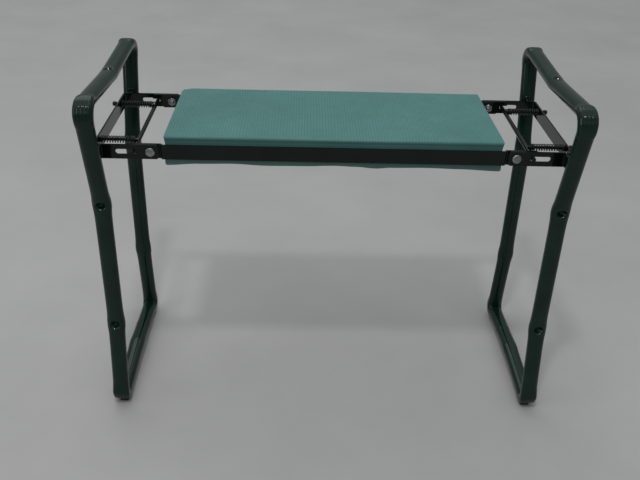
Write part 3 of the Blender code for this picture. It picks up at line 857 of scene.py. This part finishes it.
def spring_mesh(name, start, end, radius, wire, turns):
    """A compression spring along X with closed end turns."""
    per_turn, round_wire = 28, 10
    count = int(turns * per_turn)
    shares = np.linspace(0, 1, count + 1)
    dead = 1.3 / turns
    eased = np.clip((shares - dead) / (1 - 2 * dead), 0, 1)
    closed = wire * 2.1 * np.minimum(shares / dead, 1)
    closed_end = wire * 2.1 * np.clip((shares - 1 + dead) / dead, 0, 1)
    length = abs(end[0] - start[0]) - 2 * wire
    free = length - 2 * wire * 2.1
    sign = 1 if end[0] > start[0] else -1
    along = wire + closed + closed_end + free * eased
    angle = math.tau * turns * shares
    centre = np.stack(
        [start[0] + sign * along, start[1] + radius * np.cos(angle), start[2] + radius * np.sin(angle)],
        axis=1,
    )
    out = np.stack([0 * angle, np.cos(angle), np.sin(angle)], axis=1)
    run = unit_rows(np.gradient(centre, axis=0))
    side = np.cross(run, out)
    rings = []
    for turn in range(round_wire):
        a = math.tau * turn / round_wire
        rings.append(centre + wire * (math.cos(a) * out + math.sin(a) * side))
    return mesh_of(name, *skin(np.stack(rings, axis=1), False))


CAP_LENGTH = CAP_OUT_X - CAP_IN_X
# A push-on cap from its bore, round its two rims, to the hollow in its end: (radius, height)
CAP_PROFILE = (
    (0, 0.0043), (0.0023, 0.0043), (0.0023, 0.0004), (0.0026, 0), (0.0029, 0),
    (0.0032, 0.0003), (0.0032, 0.0010), (0.0029, 0.0013), (0.0029, 0.0018),
    (0.0032, 0.0021), (0.0032, CAP_LENGTH - 0.0012), (0.0028, CAP_LENGTH - 0.0004),
    (0.0020, CAP_LENGTH), (0.0016, CAP_LENGTH - 0.0002), (0.0014, CAP_LENGTH - 0.0013),
    (0, CAP_LENGTH - 0.0013),
)
COLLAR_WIDTH = 0.0010
COLLAR_OUTER, COLLAR_INNER = 0.0046, 0.0023
COIL_IN_X = COLLAR_X + 0.0013
COIL_OUT_X = WEB_X - BAR_THICKNESS / 2 - 0.0003
COIL_RADIUS = 0.0039
COIL_WIRE = 0.00070
COIL_TURNS = 14


def coil_spring(label, side, suffix, y):
    """The spring between a collar and the bracket's web, given a mesh of its own."""
    near = (side * COIL_IN_X, y, GUIDE_Z)
    far = (side * COIL_OUT_X, y, GUIDE_Z)
    mesh = spring_mesh("coil_" + suffix, near, far, COIL_RADIUS, COIL_WIRE, COIL_TURNS)
    node = "lock_spring_" + suffix
    item = piece("coil_spring_" + suffix, mesh, wire_steel, "leg_" + label, (node,), 60)
    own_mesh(item)


def lock_parts(label, side):
    """The lock rod, its guide rods, caps, collars and springs."""
    body = "lock_" + label
    ends = ((side * LOCK_X, -LOCK_END_Y, PIVOT_Z), (side * LOCK_X, LOCK_END_Y, PIVOT_Z))
    mesh = rounded_rod("pull_rod_" + label, *ends, LOCK_RADIUS, 0.0007)
    piece("pull_rod_" + label, mesh, shaded_bar_green, body, ("lock_rod_" + label,))
    for end_name, end in ENDS:
        suffix = f"{end_name}_{label}"
        y = end * GUIDE_Y
        start, finish = (side * GUIDE_IN_X, y, GUIDE_Z), (side * GUIDE_OUT_X, y, GUIDE_Z)
        mesh = rounded_rod("guide_" + suffix, start, finish, GUIDE_RADIUS, 0.0004, 32)
        piece("guide_pin_" + suffix, mesh, shaded_bar_green, body, ("guide_rod_" + suffix,))
        mesh = lathe("cap_" + suffix, CAP_PROFILE, (side * CAP_IN_X, y, GUIDE_Z), (side, 0, 0), 36)
        piece("end_cap_" + suffix, mesh, cap_black, body, ("guide_cap_" + suffix,))
        first = (side * COLLAR_X, y, GUIDE_Z)
        second = (side * (COLLAR_X + COLLAR_WIDTH), y, GUIDE_Z)
        ring_piece(
            "spring_washer_" + suffix, first, second, COLLAR_OUTER, COLLAR_INNER, 0.00015,
            wire_steel, body, "spring_collar_" + suffix,
        )
        coil_spring(label, side, suffix, y)


# ---- welds, stubs and feet


WELD_PITCH = 0.0016  # between a weld's ripples
WELD_STEP = 0.0004
TOP_WELD, SIDE_WELD = 0.0017, 0.0014  # bead radii


def weld_bead(name, start, end, radius, body, seed):
    """A short run of weld: overlapping ripples with tapered ends."""
    start, end = Vector(start), Vector(end)
    run = end - start
    length = run.length
    run = run.normalized()
    side = run.cross(Vector((0, 0, 1)) if abs(run.z) < 0.9 else Vector((0, 1, 0))).normalized()
    up = side.cross(run)
    count, around = max(int(length / WELD_STEP), 12), 14
    noise = ripple(seed, count, around)
    rings = np.empty((count, around, 3))
    for i in range(count):
        share = i / (count - 1)
        taper = math.sin(math.pi * min(max(share, 0.04), 0.96)) ** 0.35
        scale = 0.86 + 0.14 * abs(math.sin(math.pi * share * length / WELD_PITCH))
        for j in range(around):
            a = math.tau * j / around
            reach = radius * taper * scale * (1 + 0.12 * noise[i, j])
            spot = start + run * (share * length) + (side * math.cos(a) + up * math.sin(a)) * reach
            rings[i, j] = spot
    mesh = mesh_of(name, *skin(rings, False))
    return piece(name, mesh, shaded_bar_green, body, (), 70)


def stub(label, end_name, end):
    """The welded stub between bracket and upright, with a bead at each joint."""
    suffix = f"{end_name}_{label}"
    low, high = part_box("weld_stub_" + suffix)
    work = bmesh.new()
    bmesh.ops.create_cube(work, size=1.0)
    bmesh.ops.scale(work, vec=Vector(high) - Vector(low), verts=work.verts)
    bmesh.ops.translate(work, vec=(Vector(high) + Vector(low)) / 2, verts=work.verts)
    bmesh.ops.bevel(work, geom=work.edges[:], offset=0.0006, segments=3, profile=0.5, affect="EDGES")
    mesh = mesh_from(work, "stub_" + suffix)
    body = "leg_" + label
    item = piece("joint_stub_" + suffix, mesh, shaded_bar_green, body, ("weld_stub_" + suffix,), 40)
    even_normals(item)
    near = low[1] if end > 0 else high[1]
    far = high[1] if end > 0 else low[1]
    for number, (y, inset) in enumerate(((near, 0.0002), (far - end * 0.0012, 0.0))):
        top = high[2] - inset
        name = f"{number}_{suffix}"
        weld_bead("weld_top_" + name, (low[0], y, top), (high[0], y, top), TOP_WELD, body, 11 + number)
        for word, x in (("low", low[0]), ("high", high[0])):
            start, finish = (x, y, low[2]), (x, y, high[2])
            weld_bead(f"weld_{word}_{name}", start, finish, SIDE_WELD, body, 31 + number)


def tube_underside():
    """The Y and Z of the rear lower corner's underside, along the middle of the tube."""
    line = loop_line()[0]
    run = unit_rows(np.gradient(line, axis=0))
    under = line + np.stack([run[:, 1], -run[:, 0]], axis=1) * TUBE_DEPTH / 2
    low = under[(under[:, 0] > 0.08) & (under[:, 1] < BOTTOM_CORNER[1] + 0.004)]
    return low[np.argsort(low[:, 0])]


# The foot's tread from one lower side round to the other: (share of the half width, Z)
SOLE = (
    (-1.0, 0.0016), (-1.0, 0.0006), (-0.95, 0.0001),
    (0.95, 0.0001), (1.0, 0.0006), (1.0, 0.0016),
)
WAIST = 0.95  # the foot's width above the tread, as a share of the tread
WAIST_Z = 0.0019


def foot(label, side, end_name, end):
    """A small rubber foot: a rounded block, waisted above its tread, hollowed to hold the tube."""
    suffix = f"{end_name}_{label}"
    under = tube_underside()
    rings = []
    for share in np.linspace(-1, 1, 41):
        y = FOOT_Y + share * FOOT_LENGTH / 2
        drawn = 0.0014 * max(0.0, abs(share) - 0.84) / 0.16
        half = FOOT_WIDTH / 2 - drawn * abs(share)
        tube_z = float(np.interp(y, under[:, 0], under[:, 1]))
        ring = []
        lift = 0.0005 * max(0.0, abs(share) - 0.9) / 0.1
        for across, z in SOLE:
            ring.append((half * across, z + lift))
        ring.append((half * WAIST, WAIST_Z))
        for step in range(17):
            x = half * WAIST * (1 - step / 8)
            wide = min(abs(side * (FOOT_X - LEG_X) + x) / (TUBE_WIDTH / 2), 0.999)
            rise = TUBE_DEPTH / 2 * (1 - (1 - wide ** SECTION_POWER) ** (1 / SECTION_POWER))
            top = min(tube_z + rise - 0.0001, FOOT_HEIGHT - drawn * 0.6)
            ring.append((x, max(top, WAIST_Z + 0.0003)))
        ring.append((-half * WAIST, WAIST_Z))
        rings.append([(side * FOOT_X + x, end * y, z) for x, z in ring])
    mesh = mesh_of("foot_block_" + suffix, *skin(np.array(rings, float), False))
    nodes = ("foot_" + suffix,)
    return piece("rubber_foot_" + suffix, mesh, foot_rubber, "leg_" + label, nodes, 40)


# ---- pad

RIB_PITCH = 0.00378
RIB_HEIGHT = 0.00065
# The upper pad's side face from its top edge down: (share of the half depth, share of the height)
PAD_SIDE = (
    (1.0, 0.14), (0.998, 0.20), (0.990, 0.26), (0.986, 0.36),
    (0.984, 0.55), (0.981, 0.80), (0.978, 0.97),
)
PAD_EDGE = 0.0014  # width and drop of the top face's rolled edge
PAD_EDGE_DROP = 0.0009
PAD_CREASE_IN = 0.0026  # a shallow crease runs this far inside the edge
PAD_CREASE_WIDTH = 0.0008
PAD_CREASE_DEPTH = 0.0005
PAD_CROWN = 0.0005
PAD_WAVE = 0.00035
PAD_CORNER_DIP = 0.0030  # the rear left corner is pressed down
PAD_CORNER_REACH = 0.016
PAD_END_PULL = 0.0026  # the end faces lean in towards the bottom
# How far the lower pad's underside rises along the seat: (X, rise)
SAG = (
    (-0.208, 0.0004), (-0.166, 0.0028), (-0.125, 0.0036), (-0.082, 0.0018), (-0.041, 0.0022),
    (0.002, 0.0034), (0.027, 0.0026), (0.052, 0.0008), (0.071, 0.0022), (0.114, 0.0029),
    (0.155, 0.0020), (0.208, 0.0),
)
UNDER_EDGE = 0.0012  # width and rise of the lower pad's rolled edge
UNDER_ROLL = 0.0008
UNDER_SIDE = 0.007  # the roll is worked into this much of the side face


def smooth_between(points, x):
    """A smooth curve through (x, value) points by cosine steps."""
    xs = [p[0] for p in points]
    values = [p[1] for p in points]
    index = int(np.clip(np.searchsorted(xs, x) - 1, 0, len(xs) - 2))
    share = (x - xs[index]) / (xs[index + 1] - xs[index])
    share = min(max(share, 0), 1)
    blend = 0.5 - 0.5 * math.cos(math.pi * share)
    return values[index] + (values[index + 1] - values[index]) * blend


def quarter_drop(share):
    """How far a quarter circle has fallen at a share of its width, from 0 to 1."""
    return 1 - math.sqrt(max(0.0, 1 - share ** 2))


def pad_top_height(x, y, half_length, half_depth):
    """The upper pad's top face at a point, measured from the top of its CAD box."""
    end_share = (half_length - abs(x)) / 0.0018
    drop = 0.0010 * quarter_drop(1 - min(end_share, 1))
    rib = RIB_HEIGHT * (0.5 + 0.5 * math.cos(math.tau * x / RIB_PITCH)) ** 0.8
    edge = max(0.0, abs(y) - (half_depth - PAD_EDGE)) / PAD_EDGE
    roll = PAD_EDGE_DROP * quarter_drop(edge)
    bulge = math.cos(math.pi * y / (2 * half_depth)) * math.cos(math.pi * x / (2 * half_length))
    wave = PAD_WAVE * math.sin(21 * x + 1.0) * math.sin(26 * y + 0.4)
    to_corner = math.hypot(x + half_length, y - half_depth)
    corner = PAD_CORNER_DIP * max(0, 1 - to_corner / PAD_CORNER_REACH) ** 1.5
    fade = 1 - edge ** 2 * 0.6
    from_crease = (abs(y) - half_depth + PAD_CREASE_IN) / PAD_CREASE_WIDTH
    crease = PAD_CREASE_DEPTH * math.exp(-(from_crease ** 2))
    return PAD_CROWN * bulge + wave + rib * fade - 0.0008 - drop - roll - corner - crease


def pad_top():
    """The ribbed upper pad: ribs run front to back, the sides draw in below the top edge."""
    low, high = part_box("foam_pad_top")
    half_length = high[0]
    half_depth = high[1] - 0.0003
    bottom, top = low[2], high[2]
    ribs = int(round(2 * half_length / RIB_PITCH))
    per_rib = 8
    stations = np.linspace(-half_length + 0.0006, half_length - 0.0006, ribs * per_rib + 1)
    across = 96
    side = [(half_depth * out, top - (top - bottom) * down) for out, down in PAD_SIDE]
    side.append((half_depth * 0.97, bottom))

    def outline(x):
        points = []
        for step in range(across + 1):
            spread = math.sin(math.pi * (step / across - 0.5))
            y = half_depth * (0.35 * spread + 0.65 * (2 * step / across - 1))
            points.append((x, y, top + pad_top_height(x, y, half_length, half_depth)))
        points += [(x, y, z) for y, z in side]
        points += [(x, -y, z) for y, z in reversed(side)]
        return points

    rings = np.array([outline(x) for x in stations], float)
    height = np.clip((rings[:, :, 2] - bottom) / (top - bottom), 0, 1)
    end_share = np.clip(1 - (half_length - np.abs(rings[:, :, 0])) / 0.010, 0, 1)
    rings[:, :, 0] -= np.sign(rings[:, :, 0]) * end_share * PAD_END_PULL * (1 - height) ** 0.8
    mesh = mesh_of("ribbed_pad", *skin(rings, False))
    item = piece("ribbed_pad", mesh, pad_green, "seat", ("foam_pad_top",), 60)
    return item


def pad_bottom():
    """The lower pad: soft foam whose underside waves along the rails."""
    low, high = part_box("foam_pad_bottom")
    half_length, half_depth = high[0] - 0.0010, high[1] - 0.0008
    bottom, top = low[2], high[2]
    stations = np.linspace(-half_length, half_length, 180)
    side = [(-half_depth, bottom + UNDER_SIDE), (-half_depth, top - 0.001), (-half_depth + 0.001, top)]

    def outline(x):
        lift = smooth_between(SAG, x)
        end_share = min((half_length - abs(x)) / 0.002, 1)
        pinch = 0.0010 * quarter_drop(1 - end_share)
        points = []
        across = 48
        for step in range(across + 1):
            y = half_depth - 2 * half_depth * step / across
            edge = max(0.0, abs(y) - (half_depth - UNDER_EDGE)) / UNDER_EDGE
            roll = UNDER_ROLL * quarter_drop(edge)
            side_wave = lift * (0.85 - 0.15 * math.sin(14 * y))
            points.append((x, y, bottom + side_wave + roll + pinch))
        points += [(x, y, z) for y, z in side]
        points += [(x, -y, z) for y, z in reversed(side)]
        return points

    rings = np.array([outline(x) for x in stations], float)
    mesh = mesh_of("under_pad", *skin(rings, False))
    item = piece("under_pad", mesh, under_green, "seat", ("foam_pad_bottom",), 60)
    return item


# ---- stage


def camera():
    """The camera in front of the seat, looking down on it and turned a little to the right."""
    data = bpy.data.cameras.new("camera")
    data.sensor_width = 36
    data.lens = 44.54
    item = put("camera", data)
    yaw, pitch, roll = 0.0278, 0.5150, 0.0301
    forward = Vector((math.sin(yaw) * math.cos(pitch), math.cos(yaw) * math.cos(pitch), -math.sin(pitch)))
    right = Vector((math.cos(yaw), -math.sin(yaw), 0))
    up = right.cross(forward)
    right, up = right * math.cos(roll) + up * math.sin(roll), up * math.cos(roll) - right * math.sin(roll)
    turn = Matrix((right, up, -forward)).transposed()
    item.matrix_world = Matrix.Translation((-0.0393, -0.9840, 0.7598)) @ turn.to_4x4()
    bpy.context.scene.camera = item
    return item


def area_light(name, place, aim, size, power, colour):
    """A soft square light aimed at a point."""
    data = bpy.data.lights.new(name, "AREA")
    data.shape = "SQUARE"
    data.size = size
    data.energy = power
    data.color = colour
    item = put(name, data)
    item.location = place
    item.rotation_euler = (Vector(aim) - Vector(place)).to_track_quat("-Z", "Y").to_euler()
    return item


# The room's light along an axis: (axis, from, to, strength at from, strength at to)
ROOM = (("Y", -0.7, 0.7, 0.20, 0.24), ("Z", 0.30, 1.0, 0.0, 0.62))


def pale_floor():
    """A wide pale floor."""
    work = bmesh.new()
    bmesh.ops.create_grid(work, x_segments=8, y_segments=8, size=12)
    mesh = mesh_from(work, "floor")
    mesh.materials.append(floor_grey)
    put("floor", mesh)


def soft_room():
    """Light from a room that is brighter behind and above."""
    world = bpy.data.worlds.new("soft room")
    world.use_nodes = True
    bpy.context.scene.world = world
    tree = world.node_tree
    where = new_node(tree, "TexCoord")
    split = new_node(tree, "SeparateXYZ")
    total = new_node(tree, "Math")
    tree.links.new(where.outputs["Generated"], split.inputs[0])
    for socket, (axis, low, high, dim, bright) in zip(total.inputs, ROOM):
        ramp = new_node(tree, "MapRange", From_Min=low, From_Max=high, To_Min=dim, To_Max=bright)
        ramp.interpolation_type = "SMOOTHSTEP"
        tree.links.new(split.outputs[axis], ramp.inputs["Value"])
        tree.links.new(ramp.outputs["Result"], socket)
    tree.links.new(total.outputs[0], tree.nodes["Background"].inputs["Strength"])
    tree.nodes["Background"].inputs["Color"].default_value = (0.95, 0.98, 1.0, 1)


def studio():
    """A pale floor, a soft room, a broad ceiling light, a small bright lamp and a side light."""
    pale_floor()
    bpy.context.scene.view_settings.view_transform = "Standard"
    soft_room()
    area_light("ceiling", (-0.9, 1.8, 3.2), (0, 0.6, 0), 3.2, 26, (1.0, 0.99, 0.97))
    area_light("lamp", (-0.2, -0.95, 2.3), (0, 0, 0.3), 0.16, 11, (1.0, 0.98, 0.95))
    area_light("side", (-2.2, -0.9, 1.1), (0, 0, 0.25), 1.1, 6, (1.0, 0.99, 0.97))


camera()
studio()
for side_word, side_sign in SIDES:
    leg_loop(side_word, side_sign)
    bracket(side_word, side_sign)
    lock_parts(side_word, side_sign)
    for end_word, end_sign in ENDS:
        pivot_bolt(side_word, side_sign, end_word, end_sign)
        pivot_nut(side_word, side_sign, end_word, end_sign)
        stub(side_word, end_word, end_sign)
        foot(side_word, side_sign, end_word, end_sign)
for end_word, end_sign in ENDS:
    rail(end_word, end_sign)
pad_top()
pad_bottom()

carried_over = {
    "cross_tie_1": shaded_bar_green, "cross_tie_2": shaded_bar_green, "cross_tie_3": shaded_bar_green,
    "seat_board": board_brown, "joint_sleeve_left": sleeve_zinc, "joint_sleeve_right": sleeve_zinc,
}
for side_word, _ in SIDES:
    for end_word, _ in ENDS:
        carried_over[f"pivot_washer_{end_word}_{side_word}"] = washer_nylon
for node_name, node_look in carried_over.items():
    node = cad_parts[node_name]
    node.data.materials.clear()
    node.data.materials.append(node_look)
